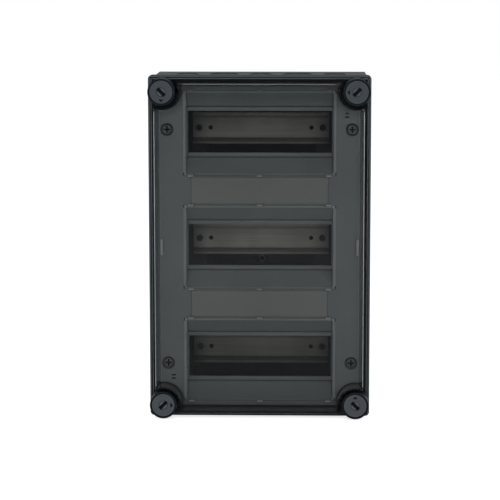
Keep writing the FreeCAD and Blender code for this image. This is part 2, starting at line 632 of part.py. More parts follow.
# Rail support: upright hollow bar on the base floor under the rail ends
def make_support(name, i):
    body = new_body("rail_support_" + name, f"{i} * rail_hole_outer")
    sketch = new_sketch(body, "floor")
    rectangle(sketch, "(support_width / 2)", "support_half")
    pad(body, sketch, "rail_back - floor")
    dress(body, "Fillet", "support_wall / 2", lambda e: along(e, "y"))
    sketch = new_sketch(body, "floor")
    rectangle(sketch, "(support_width / 2 - support_wall)", "(support_half - support_wall)")
    pocket(body, sketch, "rail_back - floor - support_top", reverse=True)
    # cable slots through both sides between the rails
    sketch = new_sketch(body, "0", "YZ_Plane")
    for side in (-1, 1):
        rectangle(sketch, "((rail_back - 2 * floor - support_slot_foot - support_top) / 2)",
                  "((row_pitch - rail_width) / 2 - support_slot_margin)",
                  "-(rail_back + support_slot_foot - support_top) / 2", f"{side} * row_pitch / 2")
    pocket(body, sketch, "support_width", middle=True)
    sketch = new_sketch(body, "rail_back")
    for step in ROWS.values():
        circle(sketch, "rail_hole_radius", y=f"{step} * row_pitch")
    pocket(body, sketch, "support_top")
    return body


parts = [make_base(), make_lid(), make_seal(), make_cover()]
QUARTER_TURN = 90
for step, (name, (i, k)) in enumerate(CORNERS.items()):
    parts += [make_sleeve(name, i, k), make_fastener(name, i, k, QUARTER_TURN * step)]
    parts.append(make_cover_screw(name, i, k))
for name, step in ROWS.items():
    parts += [make_unit(name, step), make_rail(name, step)]
    parts += [make_rail_screw(f"{name}_{side}", i, step) for side, i in (("left", -1), ("right", 1))]
parts += [make_strip("upper", 1), make_strip("lower", -1)]
parts += [make_support("left", -1), make_support("right", 1)]
doc.recompute()

for item in doc.Objects:
    if "Invalid" in item.State or "Error" in item.State:
        raise RuntimeError(f"{item.Label} did not build: {item.State}")
for body in parts:
    if body.Shape.isNull() or not body.Shape.isValid():
        raise RuntimeError(f"{body.Label} has no valid solid")

os.makedirs("parts", exist_ok=True)
for body in parts:
    body.Shape.exportStep(f"parts/{body.Label}.step")
    box = body.Shape.BoundBox
    print(f"{body.Label:26s} solids {len(body.Shape.Solids)} volume {body.Shape.Volume:10.0f}"
          f"  x {box.XMin:7.1f} {box.XMax:7.1f}  y {box.YMin:7.1f} {box.YMax:7.1f}"
          f"  z {box.ZMin:7.1f} {box.ZMax:7.1f}")
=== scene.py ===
# %% [markdown]
# # Circuit breaker enclosure
# A wall-mounted box for modular breakers: a black base, a smoked clear lid held by four round
# quarter-turn fasteners, and a light inner cover whose three windows show the mounting rails.
# The solids come in as a fixed frame, in metres, with the wall at y = 0 and the lid facing -Y.
# This lesson gives them their finishes, adds a few fine pieces such as the rounded rim of the lid,
# and sets up the light and the camera.

# %% Load the frame
import math
import bpy
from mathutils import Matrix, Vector


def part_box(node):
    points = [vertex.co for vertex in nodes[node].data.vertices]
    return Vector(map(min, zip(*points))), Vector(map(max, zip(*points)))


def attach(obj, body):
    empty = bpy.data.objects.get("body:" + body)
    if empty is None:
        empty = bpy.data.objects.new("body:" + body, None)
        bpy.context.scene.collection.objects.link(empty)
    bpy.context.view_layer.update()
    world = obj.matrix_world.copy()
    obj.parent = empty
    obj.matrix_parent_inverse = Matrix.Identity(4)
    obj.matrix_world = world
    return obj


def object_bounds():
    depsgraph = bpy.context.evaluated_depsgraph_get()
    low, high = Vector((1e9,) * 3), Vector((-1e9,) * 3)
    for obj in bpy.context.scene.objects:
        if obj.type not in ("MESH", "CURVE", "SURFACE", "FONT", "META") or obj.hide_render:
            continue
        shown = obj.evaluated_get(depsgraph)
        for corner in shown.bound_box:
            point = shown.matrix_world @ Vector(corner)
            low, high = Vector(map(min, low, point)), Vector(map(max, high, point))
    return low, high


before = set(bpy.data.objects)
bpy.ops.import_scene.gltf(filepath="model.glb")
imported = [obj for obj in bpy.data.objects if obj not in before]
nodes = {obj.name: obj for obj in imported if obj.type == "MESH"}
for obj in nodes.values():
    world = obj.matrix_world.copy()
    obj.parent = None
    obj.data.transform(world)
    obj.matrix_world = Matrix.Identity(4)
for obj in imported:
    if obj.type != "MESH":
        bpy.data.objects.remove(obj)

cad_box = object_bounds()
scene = bpy.context.scene
print("nodes", len(nodes), "box", [[round(value, 4) for value in corner] for corner in cad_box])

# %% [markdown]
# ## Helpers for node trees
# Every finish is a small node graph. The helpers keep the graphs readable: wherever a source is
# asked for, it can be a socket, which is linked, or a plain value, which is typed in.

# %% Node helpers
def add_node(tree, kind, **settings):
    node = tree.nodes.new(kind)
    for name, setting in settings.items():
        setattr(node, name, setting)
    return node


def feed(tree, socket, source):
    if isinstance(source, bpy.types.NodeSocket):
        tree.links.new(source, socket)
    else:
        socket.default_value = source


def wire(tree, node, **sources):
    """Feed inputs by name, with _ for a space."""
    for name, source in sources.items():
        feed(tree, node.inputs[name.replace("_", " ")], source)
    return node


def calc(tree, operation, *sources, clamp=False):
    node = add_node(tree, "ShaderNodeMath", operation=operation, use_clamp=clamp)
    for socket, source in zip(node.inputs, sources):
        feed(tree, socket, source)
    return node.outputs[0]


def calc_vector(tree, operation, *sources):
    node = add_node(tree, "ShaderNodeVectorMath", operation=operation)
    for socket, source in zip(node.inputs, sources):
        feed(tree, socket, source)
    return node.outputs["Value" if operation == "LENGTH" else "Vector"]

# %% [markdown]
# Scaling a colour, spreading a value over a range and taking a vector apart come up in nearly
# every group, so each of them is one call.

# %% More helpers
def scaled(tree, colour, factor):
    node = add_node(tree, "ShaderNodeVectorMath", operation="SCALE")
    feed(tree, node.inputs[0], colour)
    feed(tree, node.inputs["Scale"], factor)
    return node.outputs[0]


def spread(tree, value, source_range, target_range=(0.0, 1.0)):
    node = add_node(tree, "ShaderNodeMapRange")
    labels = ("Value", "From Min", "From Max", "To Min", "To Max")
    for label, source in zip(labels, (value, *source_range, *target_range)):
        feed(tree, node.inputs[label], source)
    return node.outputs[0]


def apart(tree, vector):
    node = add_node(tree, "ShaderNodeSeparateXYZ")
    feed(tree, node.inputs[0], vector)
    return node.outputs


def noise(tree, place, scale, detail, roughness, distortion=0.0):
    node = add_node(tree, "ShaderNodeTexNoise")
    wire(tree, node, Vector=place, Scale=scale, Detail=detail, Roughness=roughness, Distortion=distortion)
    return node.outputs["Fac"]


def new_group(name, inputs, outputs):
    """A shader group, with the sockets that it is given and the sockets that it gives back."""
    group = bpy.data.node_groups.new(name, "ShaderNodeTree")
    kinds = {"value": "NodeSocketFloat", "colour": "NodeSocketColor", "normal": "NodeSocketVector"}
    for label, kind, default in inputs:
        socket = group.interface.new_socket(label, in_out="INPUT", socket_type=kinds[kind])
        socket.default_value = default
    for label, kind in outputs:
        group.interface.new_socket(label, in_out="OUTPUT", socket_type=kinds[kind])
    return group, add_node(group, "NodeGroupInput").outputs, add_node(group, "NodeGroupOutput").inputs


def object_place(tree):
    return add_node(tree, "ShaderNodeTexCoord").outputs["Object"]

# %% [markdown]
# ## Recesses and edges
# Slots, seams and screw drives gather dust and take little light. An Ambient Occlusion node finds
# them from the shape itself, and its value darkens the colour there: painted shade, with some dust.
# Sharp solid edges are softened for the light with a Bevel node, which is cheaper than rounding
# every edge in the mesh, and a Bump node lays the fine surface over it. Plastics and metals share
# this last step.

# %% Shared surface step
SURFACE_INPUTS = [
    ("Gloss low", "value", 0.4), ("Gloss high", "value", 0.55), ("Edge round", "value", 0.0004),
    ("Recess reach", "value", 0.004), ("Recess shade", "value", 0.5)]
SURFACE_OUTPUTS = [("Colour", "colour"), ("Roughness", "value"), ("Normal", "normal")]


def shade_recess(group, given, colour):
    near = add_node(group, "ShaderNodeAmbientOcclusion", samples=8)
    feed(group, near.inputs["Distance"], given["Recess reach"])
    darkest = calc(group, "SUBTRACT", 1.0, given["Recess shade"])
    return scaled(group, colour, spread(group, near.outputs["AO"], (0.45, 0.95), (darkest, 1.0)))


def close_surface(group, given, result, tone, patches, height, strength, distance):
    edge = add_node(group, "ShaderNodeBevel", samples=4)
    feed(group, edge.inputs["Radius"], given["Edge round"])
    bump = wire(group, add_node(group, "ShaderNodeBump"), Height=height, Strength=strength,
                Distance=distance, Normal=edge.outputs[0])
    gloss = spread(group, patches, (0.35, 0.65), (given["Gloss low"], given["Gloss high"]))
    feed(group, result["Colour"], shade_recess(group, given, tone))
    feed(group, result["Roughness"], gloss)
    feed(group, result["Normal"], bump.outputs[0])

# %% [markdown]
# ## Moulded skin
# Moulded plastic is never one flat colour. It has a fine spark-eroded grain, slow changes of tone
# where the melt flowed, and a satin that varies a little. All of that is noise at three scales on
# Object coordinates, so the pattern stays on the piece in every view.

# %% Moulded skin group
def make_moulded_skin():
    group, given, result = new_group("Moulded skin", [
        ("Colour", "colour", (0.5, 0.5, 0.5, 1)), ("Tone change", "value", 0.06),
        ("Grain size", "value", 0.0006), ("Grain depth", "value", 0.1)] + SURFACE_INPUTS, SURFACE_OUTPUTS)
    place = object_place(group)
    grain = noise(group, place, calc(group, "DIVIDE", 1.0, given["Grain size"]), 3.0, 0.6)
    flow = noise(group, place, 16.0, 4.0, 0.55, 0.6)
    haze = noise(group, place, 110.0, 5.0, 0.65)
    low = calc(group, "SUBTRACT", 1.0, given["Tone change"])
    high = calc(group, "ADD", 1.0, given["Tone change"])
    tone = scaled(group, given["Colour"], spread(group, flow, (0.3, 0.7), (low, high)))
    close_surface(group, given, result, tone, haze, grain, given["Grain depth"], 0.0002)
    return group


moulded_skin = make_moulded_skin()
print("group", moulded_skin.name, "sockets", len(moulded_skin.interface.items_tree))

# %% [markdown]
# ## Drawn metal
# The rails are rolled from zinc-plated strip, so they carry fine lines along their length and
# faint cloudy patches. Noise that is stretched along X gives the lines: the coordinates are scaled
# far less along X than across it.

# %% Drawn metal group
def make_drawn_metal():
    group, given, result = new_group("Drawn metal", [
        ("Colour", "colour", (0.5, 0.5, 0.5, 1)), ("Line tone", "value", 0.25),
        ("Line depth", "value", 0.15)] + SURFACE_INPUTS, SURFACE_OUTPUTS)
    place = object_place(group)
    stretch = wire(group, add_node(group, "ShaderNodeMapping"), Vector=place, Scale=(6.0, 900.0, 900.0))
    lines = noise(group, stretch.outputs[0], 1.0, 3.0, 0.6)
    cloud = noise(group, place, 45.0, 5.0, 0.6)
    low = calc(group, "SUBTRACT", 1.0, given["Line tone"])
    both = calc(group, "ADD", lines, cloud)
    tone = scaled(group, given["Colour"], spread(group, both, (0.7, 1.3), (low, 1.0)))
    close_surface(group, given, result, tone, cloud, lines, given["Line depth"], 0.0001)
    return group


drawn_metal = make_drawn_metal()
print("group", drawn_metal.name, "sockets", len(drawn_metal.interface.items_tree))

# %% [markdown]
# ## Bands of tone
# Some tones change along one axis only. A colour ramp over one Object coordinate draws such bands.
# Where the three rows are alike, the height is wrapped at the row pitch, so one ramp serves them.

# %% Band group maker
ROW_PITCH = 0.125
HALF_PITCH = ROW_PITCH / 2


def make_bands(name, axis, low, high, stops):
    """Scale a colour along an axis. low and high bound one repeat in metres, stops are (place, value)."""
    colour_in, colour_out = ("Colour", "colour", (0.5, 0.5, 0.5, 1)), ("Colour", "colour")
    group, given, result = new_group(name, [colour_in], [colour_out])
    wrapped = calc(group, "WRAP", apart(group, object_place(group))[axis], high, low)
    ramp = add_node(group, "ShaderNodeValToRGB")
    feed(group, ramp.inputs[0], spread(group, wrapped, (low, high)))
    elements = ramp.color_ramp.elements
    while len(elements) < len(stops):
        elements.new(0.5)
    for element, (height, value) in zip(elements, stops):
        element.position = (height - low) / (high - low)
        element.color = (value, value, value, 1)
    feed(group, result["Colour"], calc_vector(group, "MULTIPLY", given["Colour"], ramp.outputs["Color"]))
    return group


def mirrored(stops):
    """The same stops on both sides of the middle."""
    return [(-place, value) for place, value in reversed(stops)] + stops

# %% [markdown]
# Painted shade darkens the cover near its top and bottom, where it lies in the shade of the lid's
# end walls, while painted light brightens the narrow ledges along its sides, which catch the light
# that comes through the side walls. In the window units painted shade darkens the groove round each
# opening, and painted light brightens the upper slope and the side cheeks.

# %% Bands of the cover and the window units
cover_shade = make_bands("Cover shade", "Z", -0.19, 0.19, [
    (-0.1766, 0.66), (-0.170, 0.82), (-0.152, 1.0), (0.150, 1.0), (0.164, 0.72), (0.1766, 0.68)])
ledge_light = make_bands("Ledge light", "X", -0.12, 0.12, mirrored([(0.1079, 1.0), (0.1084, 1.6)]))
cheek_light = make_bands("Cheek light", "X", -0.12, 0.12, mirrored([
    (0.0798, 1.0), (0.0802, 1.9), (0.0808, 1.9), (0.0812, 1.0)]))
slope_light = make_bands("Slope light", "Z", -HALF_PITCH, HALF_PITCH, [
    (-0.0286, 1.0), (-0.0282, 0.62), (-0.0272, 0.62), (-0.0268, 1.0),
    (0.0268, 1.0), (0.0272, 0.58), (0.0282, 0.58), (0.0286, 1.36)])
print("bands", cover_shade.name, ledge_light.name, cheek_light.name, slope_light.name)

# %% [markdown]
# Painted shade darkens both flanges of each rail, the lower one most, with a thin painted highlight
# beside each, and the rail ends lie in the painted shade of the window cheeks. Painted light makes
# the middle rail the brightest of the three. The lower fastener heads are a little paler than the
# upper ones.

# %% Bands of the rails and the fastener heads
flange_shade = make_bands("Flange shade", "Z", -HALF_PITCH, HALF_PITCH, [
    (-0.0175, 0.62), (-0.0152, 0.62), (-0.0148, 0.26), (-0.0115, 0.26), (-0.0109, 1.12), (-0.0100, 1.0),
    (0.0112, 1.0), (0.0118, 1.12), (0.0124, 0.5), (0.0134, 0.5), (0.0140, 0.85), (0.0175, 0.85)])
end_shade = make_bands("End shade", "X", -0.1, 0.1, mirrored([(0.0580, 1.0), (0.0700, 0.7), (0.0765, 0.4)]))
row_light = make_bands("Row light", "Z", -0.19, 0.19, [
    (-0.1375, 0.68), (-0.1300, 0.74), (-0.1200, 1.0), (-0.1100, 1.08),
    (-0.0125, 1.2), (0.0, 1.36), (0.0500, 1.36), (0.0800, 0.92)])
head_light = make_bands("Head light", "Z", -0.19, 0.19, [(-0.1000, 1.16), (0.1000, 0.86)])
print("bands", flange_shade.name, end_shade.name, row_light.name, head_light.name)

# %% [markdown]
# ## Marks at the four corners
# The fastener slots and the screw crosses are deep and narrow, and painted shade draws them nearly
# black. The frame is mirrored about its middle: taking the absolute value of X and Z folds all four
# corners into one, where a single mark is drawn as a bar with soft ends. The slots all point at the
# middle of the box, along the diagonal of their corner.

# %% Bars and steps
EDGE_WIDTH = 1 / 3000  # a third of a millimetre


def soft_step(group, distance, reach, outside=False):
    """1 below the reach and 0 above it, or the other way round, with a soft edge."""
    slope = (1 if outside else -1) / EDGE_WIDTH
    return calc(group, "MULTIPLY_ADD", distance, slope, 0.5 - slope * reach, clamp=True)


def bar(group, along, across, half_length, half_width):
    sides = [soft_step(group, calc(group, "ABSOLUTE", place), reach)
             for place, reach in ((along, half_length), (across, half_width))]
    return calc(group, "MULTIPLY", *sides)

# %% [markdown]
# A small triangle near the rim of each head points outward: it sits under or over the slot at two
# corners and beside it at the other two. The sign of X times Z tells which, and the two directions
# of the folded corner are swapped with it.

# %% Pointer
def pointer_mark(group, place, local, reach, half_length=0.0015, half_width=0.0014, taper=0.93):
    whole, part = apart(group, place), apart(group, local)
    beside = calc(group, "GREATER_THAN", calc(group, "MULTIPLY", whole["X"], whole["Z"]), 0.0)
    directions = []
    for first, second in (("Z", "X"), ("X", "Z")):
        pick = add_node(group, "ShaderNodeMix", data_type="FLOAT")
        for socket, source in zip((pick.inputs[0], pick.inputs[2], pick.inputs[3]),
                                  (beside, part[first], part[second])):
            feed(group, socket, source)
        directions.append(pick.outputs[0])
    along = calc(group, "ADD", directions[0], reach)
    lean = calc(group, "MULTIPLY_ADD", along, -taper, calc(group, "ABSOLUTE", directions[1]))
    ends = bar(group, along, directions[1], half_length, 0.004)
    return calc(group, "MULTIPLY", ends, soft_step(group, lean, half_width))

# %% [markdown]
# One maker serves both kinds of mark. The dish round each slot and the chamfer at the rim of the
# head are turned to the side light, so painted light makes both a little lighter than the face.

# %% Corner marks
def make_corner_mark(name, centre, half_length, half_width, diagonal, dish=0.0, rim=1.0, pointer=0.0):
    group, given, result = new_group(name, [
        ("Colour", "colour", (0.5, 0.5, 0.5, 1)), ("Depth", "value", 0.9),
        ("Dish light", "value", 0.0)], [("Colour", "colour")])
    place = object_place(group)
    local = calc_vector(group, "SUBTRACT", calc_vector(group, "ABSOLUTE", place), (centre[0], 0, centre[1]))
    turn = wire(group, add_node(group, "ShaderNodeVectorRotate", rotation_type="Y_AXIS"), Vector=local,
                Angle=math.radians(45 if diagonal else 0)).outputs[0]
    turned = apart(group, turn)
    mark = bar(group, turned["X"], turned["Z"], half_length, half_width)
    if not diagonal:
        mark = calc(group, "MAXIMUM", mark, bar(group, turned["Z"], turned["X"], half_length, half_width))
    if pointer:
        mark = calc(group, "MAXIMUM", mark, pointer_mark(group, place, local, pointer))
    dark = calc(group, "SUBTRACT", 1.0, calc(group, "MULTIPLY", mark, given["Depth"]))
    radius = calc_vector(group, "LENGTH", calc_vector(group, "MULTIPLY", turn, (1, 0, 1)))
    lit = calc(group, "ADD", soft_step(group, radius, dish), soft_step(group, radius, rim, outside=True))
    light = calc(group, "MULTIPLY_ADD", lit, given["Dish light"], 1.0)
    feed(group, result["Colour"], scaled(group, given["Colour"], calc(group, "MULTIPLY", dark, light)))
    return group


def centre_of(name):
    low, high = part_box(name)
    return abs(low[0] + high[0]) / 2, abs(low[2] + high[2]) / 2


slot_mark = make_corner_mark("Slot mark", centre_of("fastener_top_right"), 0.0056, 0.0020, True,
                             dish=0.0048, rim=0.0119, pointer=0.0093)
slot_mark.interface.items_tree["Dish light"].default_value = 0.7
cross_mark = make_corner_mark("Cross mark", centre_of("cover_screw_top_right"), 0.0036, 0.00085, False)
print("marks at", [round(value, 4) for value in centre_of("fastener_top_right")],
      [round(value, 4) for value in centre_of("cover_screw_top_right")])

# %% [markdown]
# ## Finishes
# One helper puts a group in front of a Principled shader, with any bands and marks between them.
# Values that are the same all over, such as Metallic or the specular level, are typed on the
# shader itself.

# %% Finish helper
def finish(name, group, values, bands=(), **shader):
    material = bpy.data.materials.new(name)
    material.use_nodes = True
    tree = material.node_tree
    principled = tree.nodes["Principled BSDF"]
    skin = add_node(tree, "ShaderNodeGroup", node_tree=group)
    for label, setting in values.items():
        skin.inputs[label].default_value = setting
    colour = skin.outputs["Colour"]
    for extra in bands:
        band = add_node(tree, "ShaderNodeGroup", node_tree=extra)
        feed(tree, band.inputs["Colour"], colour)
        colour = band.outputs["Colour"]
    wire(tree, principled, Base_Color=colour, Roughness=skin.outputs["Roughness"],
         Normal=skin.outputs["Normal"], **shader)
    return material

# %% [markdown]
# The plastics. The base is black with a visible grain, the inner cover and the window units are
# light grey with a fine satin, and the marking strips are paler still.

# %% Plastics of the box
black_base = finish("black_base", moulded_skin, {
    "Colour": (0.020, 0.026, 0.030, 1), "Tone change": 0.08, "Grain size": 0.0006,
    "Grain depth": 0.13, "Gloss low": 0.42, "Gloss high": 0.56, "Edge round": 0.0005})
cover_values = {
    "Colour": (0.41, 0.445, 0.455, 1), "Tone change": 0.055, "Grain size": 0.0005,
    "Grain depth": 0.12, "Gloss low": 0.38, "Gloss high": 0.5, "Edge round": 0.0006}
light_cover = finish("light_cover", moulded_skin, cover_values, bands=(cover_shade, ledge_light))
unit_cover = finish("unit_cover", moulded_skin, cover_values, bands=(cover_shade, cheek_light, slope_light))
pale_strip = finish("pale_strip", moulded_skin, {
    "Colour": (0.512, 0.522, 0.505, 1), "Tone change": 0.03, "Grain size": 0.0005,
    "Grain depth": 0.08, "Gloss low": 0.34, "Gloss high": 0.46, "Edge round": 0.0004})

# %% [markdown]
# The sleeves are smoother than the base, the fastener heads are a cool mid grey, and the seal is a
# dull soft rubber.

# %% Plastics of the fasteners, and the seal
black_sleeve = finish("black_sleeve", moulded_skin, {
    "Colour": (0.005, 0.006, 0.008, 1), "Tone change": 0.1, "Grain size": 0.0005,
    "Grain depth": 0.1, "Gloss low": 0.3, "Gloss high": 0.42, "Edge round": 0.0003},
    Specular_IOR_Level=0.12)
grey_fastener = finish("grey_fastener", moulded_skin, {
    "Colour": (0.037, 0.042, 0.047, 1), "Tone change": 0.08, "Grain size": 0.0005,
    "Grain depth": 0.2, "Gloss low": 0.3, "Gloss high": 0.42, "Edge round": 0.0006,
    "Recess reach": 0.005, "Recess shade": 0.95}, bands=(slot_mark, head_light), Specular_IOR_Level=0.07)
soft_seal = finish("soft_seal", moulded_skin, {
    "Colour": (0.03, 0.03, 0.03, 1), "Tone change": 0.1, "Grain size": 0.0009,
    "Grain depth": 0.3, "Gloss low": 0.7, "Gloss high": 0.85, "Edge round": 0.0003})

# %% [markdown]
# The metals. The rails are plated strip, the cover screws a duller plated steel, and the rail
# screws are blackened.

# %% Metal finishes
plated_rail = finish("plated_rail", drawn_metal, {
    "Colour": (0.84, 0.80, 0.73, 1), "Line tone": 0.3, "Gloss low": 0.35, "Gloss high": 0.55,
    "Line depth": 0.2, "Edge round": 0.0003}, bands=(flange_shade, end_shade, row_light), Metallic=0.35)
plated_screw = finish("plated_screw", drawn_metal, {
    "Colour": (0.36, 0.375, 0.38, 1), "Line tone": 0.2, "Gloss low": 0.45, "Gloss high": 0.6,
    "Line depth": 0.1, "Edge round": 0.0003, "Recess shade": 0.9}, bands=(cross_mark,),
    Metallic=0.85, Specular_IOR_Level=0.1)
black_screw = finish("black_screw", drawn_metal, {
    "Colour": (0.008, 0.008, 0.008, 1), "Line tone": 0.2, "Gloss low": 0.4, "Gloss high": 0.55,
    "Line depth": 0.1, "Edge round": 0.0003}, Metallic=0.3)

# %% [markdown]
# ## Smoked lid
# The lid is clear plastic with a grey-black dye. Light crosses each face of its walls once on the
# way in and once on the way out. A see-through alpha on a dark glossy shader does this without
# any noise from refraction, and the lamps still reach what is behind the lid. Where the view runs
# along a wall, its dye lets little light pass and its skin mirrors the surroundings, so alpha and
# coat rise with the Facing value, and a paler tone mixed in there is a painted reflection.

# %% Smoked lid finish
smoked_lid = finish("smoked_lid", moulded_skin, {
    "Colour": (0.004, 0.0045, 0.005, 1), "Tone change": 0.08, "Grain size": 0.004,
    "Grain depth": 0.01, "Gloss low": 0.05, "Gloss high": 0.1, "Edge round": 0.0004,
    "Recess shade": 0.0}, IOR=1.5, Specular_IOR_Level=0.2, Coat_IOR=3.0, Coat_Roughness=0.05)


def thicken_at_grazing(material, facing, edge_on, pale):
    tree = material.node_tree
    principled = tree.nodes["Principled BSDF"]
    turn = add_node(tree, "ShaderNodeLayerWeight")
    turn.inputs["Blend"].default_value = 0.5
    alpha = spread(tree, turn.outputs["Facing"], (0.45, 0.9), (facing, edge_on))
    mirror = spread(tree, turn.outputs["Facing"], (0.5, 0.85))
    # The paler tone mixed in at grazing angles is a painted reflection.
    haze = add_node(tree, "ShaderNodeMix", data_type="RGBA")
    skin = next(node for node in tree.nodes if node.type == "GROUP")
    for socket, source in zip((haze.inputs[0], haze.inputs[6], haze.inputs[7]),
                              (mirror, skin.outputs["Colour"], pale)):
        feed(tree, socket, source)
    wire(tree, principled, Alpha=alpha, Coat_Weight=mirror, Base_Color=haze.outputs[2])


thicken_at_grazing(smoked_lid, 0.44, 0.92, (0.045, 0.05, 0.053, 1))
lid_inputs = smoked_lid.node_tree.nodes["Principled BSDF"].inputs
print("lid inputs fed", sum(socket.is_linked for socket in lid_inputs))

# %% [markdown]
# ## Pale edges
# Pale finishes paint highlights where the lid's clear sheet shows light at its edges: strongly along
# the bends of the front face, more weakly at the smoked bead of the flange. On the inner cover, the
# faces of the parts that stand proud get a painted highlight, and the upright edges of the window
# units a weaker one, paler than their faces.

# %% Edge finishes
clear_edge = finish("clear_edge", moulded_skin, {
    "Colour": (0.16, 0.175, 0.185, 1), "Tone change": 0.15, "Grain size": 0.003,
    "Grain depth": 0.02, "Gloss low": 0.12, "Gloss high": 0.2, "Edge round": 0.0001,
    "Recess shade": 0.0}, Specular_IOR_Level=0.8)
smoked_edge = finish("smoked_edge", moulded_skin, {
    "Colour": (0.055, 0.061, 0.066, 1), "Tone change": 0.2, "Grain size": 0.003,
    "Grain depth": 0.02, "Gloss low": 0.15, "Gloss high": 0.25, "Edge round": 0.0001,
    "Recess shade": 0.0})
proud_highlight = finish("proud_highlight", moulded_skin, {
    "Colour": (0.86, 0.88, 0.88, 1), "Tone change": 0.1, "Grain size": 0.0008,
    "Grain depth": 0.1, "Gloss low": 0.3, "Gloss high": 0.45, "Edge round": 0.0001,
    "Recess shade": 0.0})
edge_pale = finish("edge_pale", moulded_skin, {
    "Colour": (0.60, 0.645, 0.66, 1), "Tone change": 0.08, "Grain size": 0.0008,
    "Grain depth": 0.1, "Gloss low": 0.3, "Gloss high": 0.45, "Edge round": 0.0001,
    "Recess shade": 0.0})

# %% [markdown]
# ## Dress the solids
# The first word or words of a node's name tell its kind, so one table dresses all of them. The
# longest match wins: a rail screw is not a rail.

# %% Give every node its finish
finish_of = {"base": black_base, "lid": smoked_lid, "lid_seal": soft_seal,
             "inner_cover": light_cover, "window_unit": unit_cover, "marking_strip": pale_strip,
             "sleeve": black_sleeve, "fastener": grey_fastener, "cover_screw": plated_screw,
             "rail_support": black_base, "rail_screw": black_screw, "rail": plated_rail}
for name, node in nodes.items():
    key = next(start for start in sorted(finish_of, key=len, reverse=True) if name.startswith(start))
    for place in node.material_slots:
        place.material = finish_of[key]
print("dressed", len(nodes), "nodes with", len(set(finish_of.values())), "finishes")

# %% [markdown]
# ## Fine pieces from Geometry Nodes
# The small pieces are drawn by short Geometry Nodes trees. All trees begin with named sizes and
# end in the same way: instances are made real and the material is set. The result is kept as a
# plain mesh that rides on the box.

# %% Shape helpers
def new_shape(name, **sizes):
    tree = bpy.data.node_groups.new(name, "GeometryNodeTree")
    for label, default in sizes.items():
        words = label.replace("_", " ")
        socket = tree.interface.new_socket(words, in_out="INPUT", socket_type="NodeSocketFloat")
        socket.default_value = default
    tree.interface.new_socket("Geometry", in_out="OUTPUT", socket_type="NodeSocketGeometry")
    return tree, add_node(tree, "NodeGroupInput").outputs


def placed(tree, shape, place=(0, 0, 0), turn=(0, 0, 0)):
    node = add_node(tree, "GeometryNodeTransform")
    return wire(tree, node, Geometry=shape, Translation=place, Rotation=turn).outputs[0]


def joined(tree, shapes):
    join = add_node(tree, "GeometryNodeJoinGeometry")
    for shape in shapes:
        tree.links.new(shape, join.inputs[0])
    return join.outputs[0]


def end_shape(tree, shape, material):
    real = wire(tree, add_node(tree, "GeometryNodeRealizeInstances"), Geometry=shape)
    cover = add_node(tree, "GeometryNodeSetMaterial")
    wire(tree, cover, Geometry=real.outputs[0], Material=material)
    tree.links.new(cover.outputs[0], add_node(tree, "NodeGroupOutput").inputs["Geometry"])
    return tree


def keep_shape(name, tree, place=(0, 0, 0)):
    """Run a tree on an empty mesh, keep the result as a plain mesh and let it ride on the box."""
    host = bpy.data.objects.new(name, bpy.data.meshes.new(name))
    scene.collection.objects.link(host)
    modifier = host.modifiers.new("shape", "NODES")
    modifier.node_group = tree
    for item in tree.interface.items_tree:
        if item.in_out == "INPUT":
            modifier[item.identifier] = item.default_value
    bpy.context.view_layer.update()
    mesh = bpy.data.meshes.new_from_object(host.evaluated_get(bpy.context.evaluated_depsgraph_get()))
    host.modifiers.remove(modifier)
    host.data = mesh
    for vertex in mesh.vertices:
        vertex.co += Vector(place)
    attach(host, "enclosure")
    print(name, "faces", len(mesh.polygons))
    return host


QUARTER = math.radians(90)

# %% [markdown]
# ## Rim bead of the lid
# The flange of the lid ends in a small rounded bead, and its paler smoked finish paints a thin
# highlight line all round. It follows a rounded rectangle: a rectangle curve with rounded corners,
# swept with a small circle.

# %% Rim bead
def swept(tree, path, section_radius, sides):
    section = add_node(tree, "GeometryNodeCurvePrimitiveCircle")
    wire(tree, section, Resolution=sides, Radius=section_radius)
    sweep = add_node(tree, "GeometryNodeCurveToMesh")
    return wire(tree, sweep, Curve=path, Profile_Curve=section.outputs["Curve"]).outputs[0]


def make_bead_tree(width, height, thickness):
    tree, given = new_shape("Rim bead", Width=width, Height=height, Corner=0.0013, Thickness=thickness)
    outline = add_node(tree, "GeometryNodeCurvePrimitiveQuadrilateral")
    wire(tree, outline, Width=given["Width"], Height=given["Height"])
    corner = add_node(tree, "GeometryNodeFilletCurve", mode="POLY")
    wire(tree, corner, Curve=outline.outputs["Curve"], Radius=given["Corner"], Count=6)
    sweep = swept(tree, corner.outputs["Curve"], given["Thickness"], 12)
    smooth = wire(tree, add_node(tree, "GeometryNodeSetShadeSmooth"), Geometry=sweep)
    return end_shape(tree, placed(tree, smooth.outputs[0], turn=(QUARTER, 0, 0)), smoked_edge)


lid_low, lid_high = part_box("lid")
bead, flange_back = 0.0005, 0.024
bead_width, bead_height = (lid_high[axis] - lid_low[axis] - 2 * bead for axis in (0, 2))
keep_shape("rim_bead", make_bead_tree(bead_width, bead_height, bead),
           (0, lid_low[1] + flange_back, 0))

# %% [markdown]
# ## Edge lines of the lid
# Along both long sides and the top the front edge of the lid shows a second pale line, where the
# edge rounds over between the hollows of the fasteners. Three thin rods in a pale finish follow it
# and paint this highlight.

# %% Edge lines
def rod(tree, radius, length):
    node = add_node(tree, "GeometryNodeMeshCylinder")
    wire(tree, node, Vertices=12, Radius=radius, Depth=length)
    return node.outputs["Mesh"]


def spot(tree, **sources):
    return wire(tree, add_node(tree, "ShaderNodeCombineXYZ"), **sources).outputs[0]


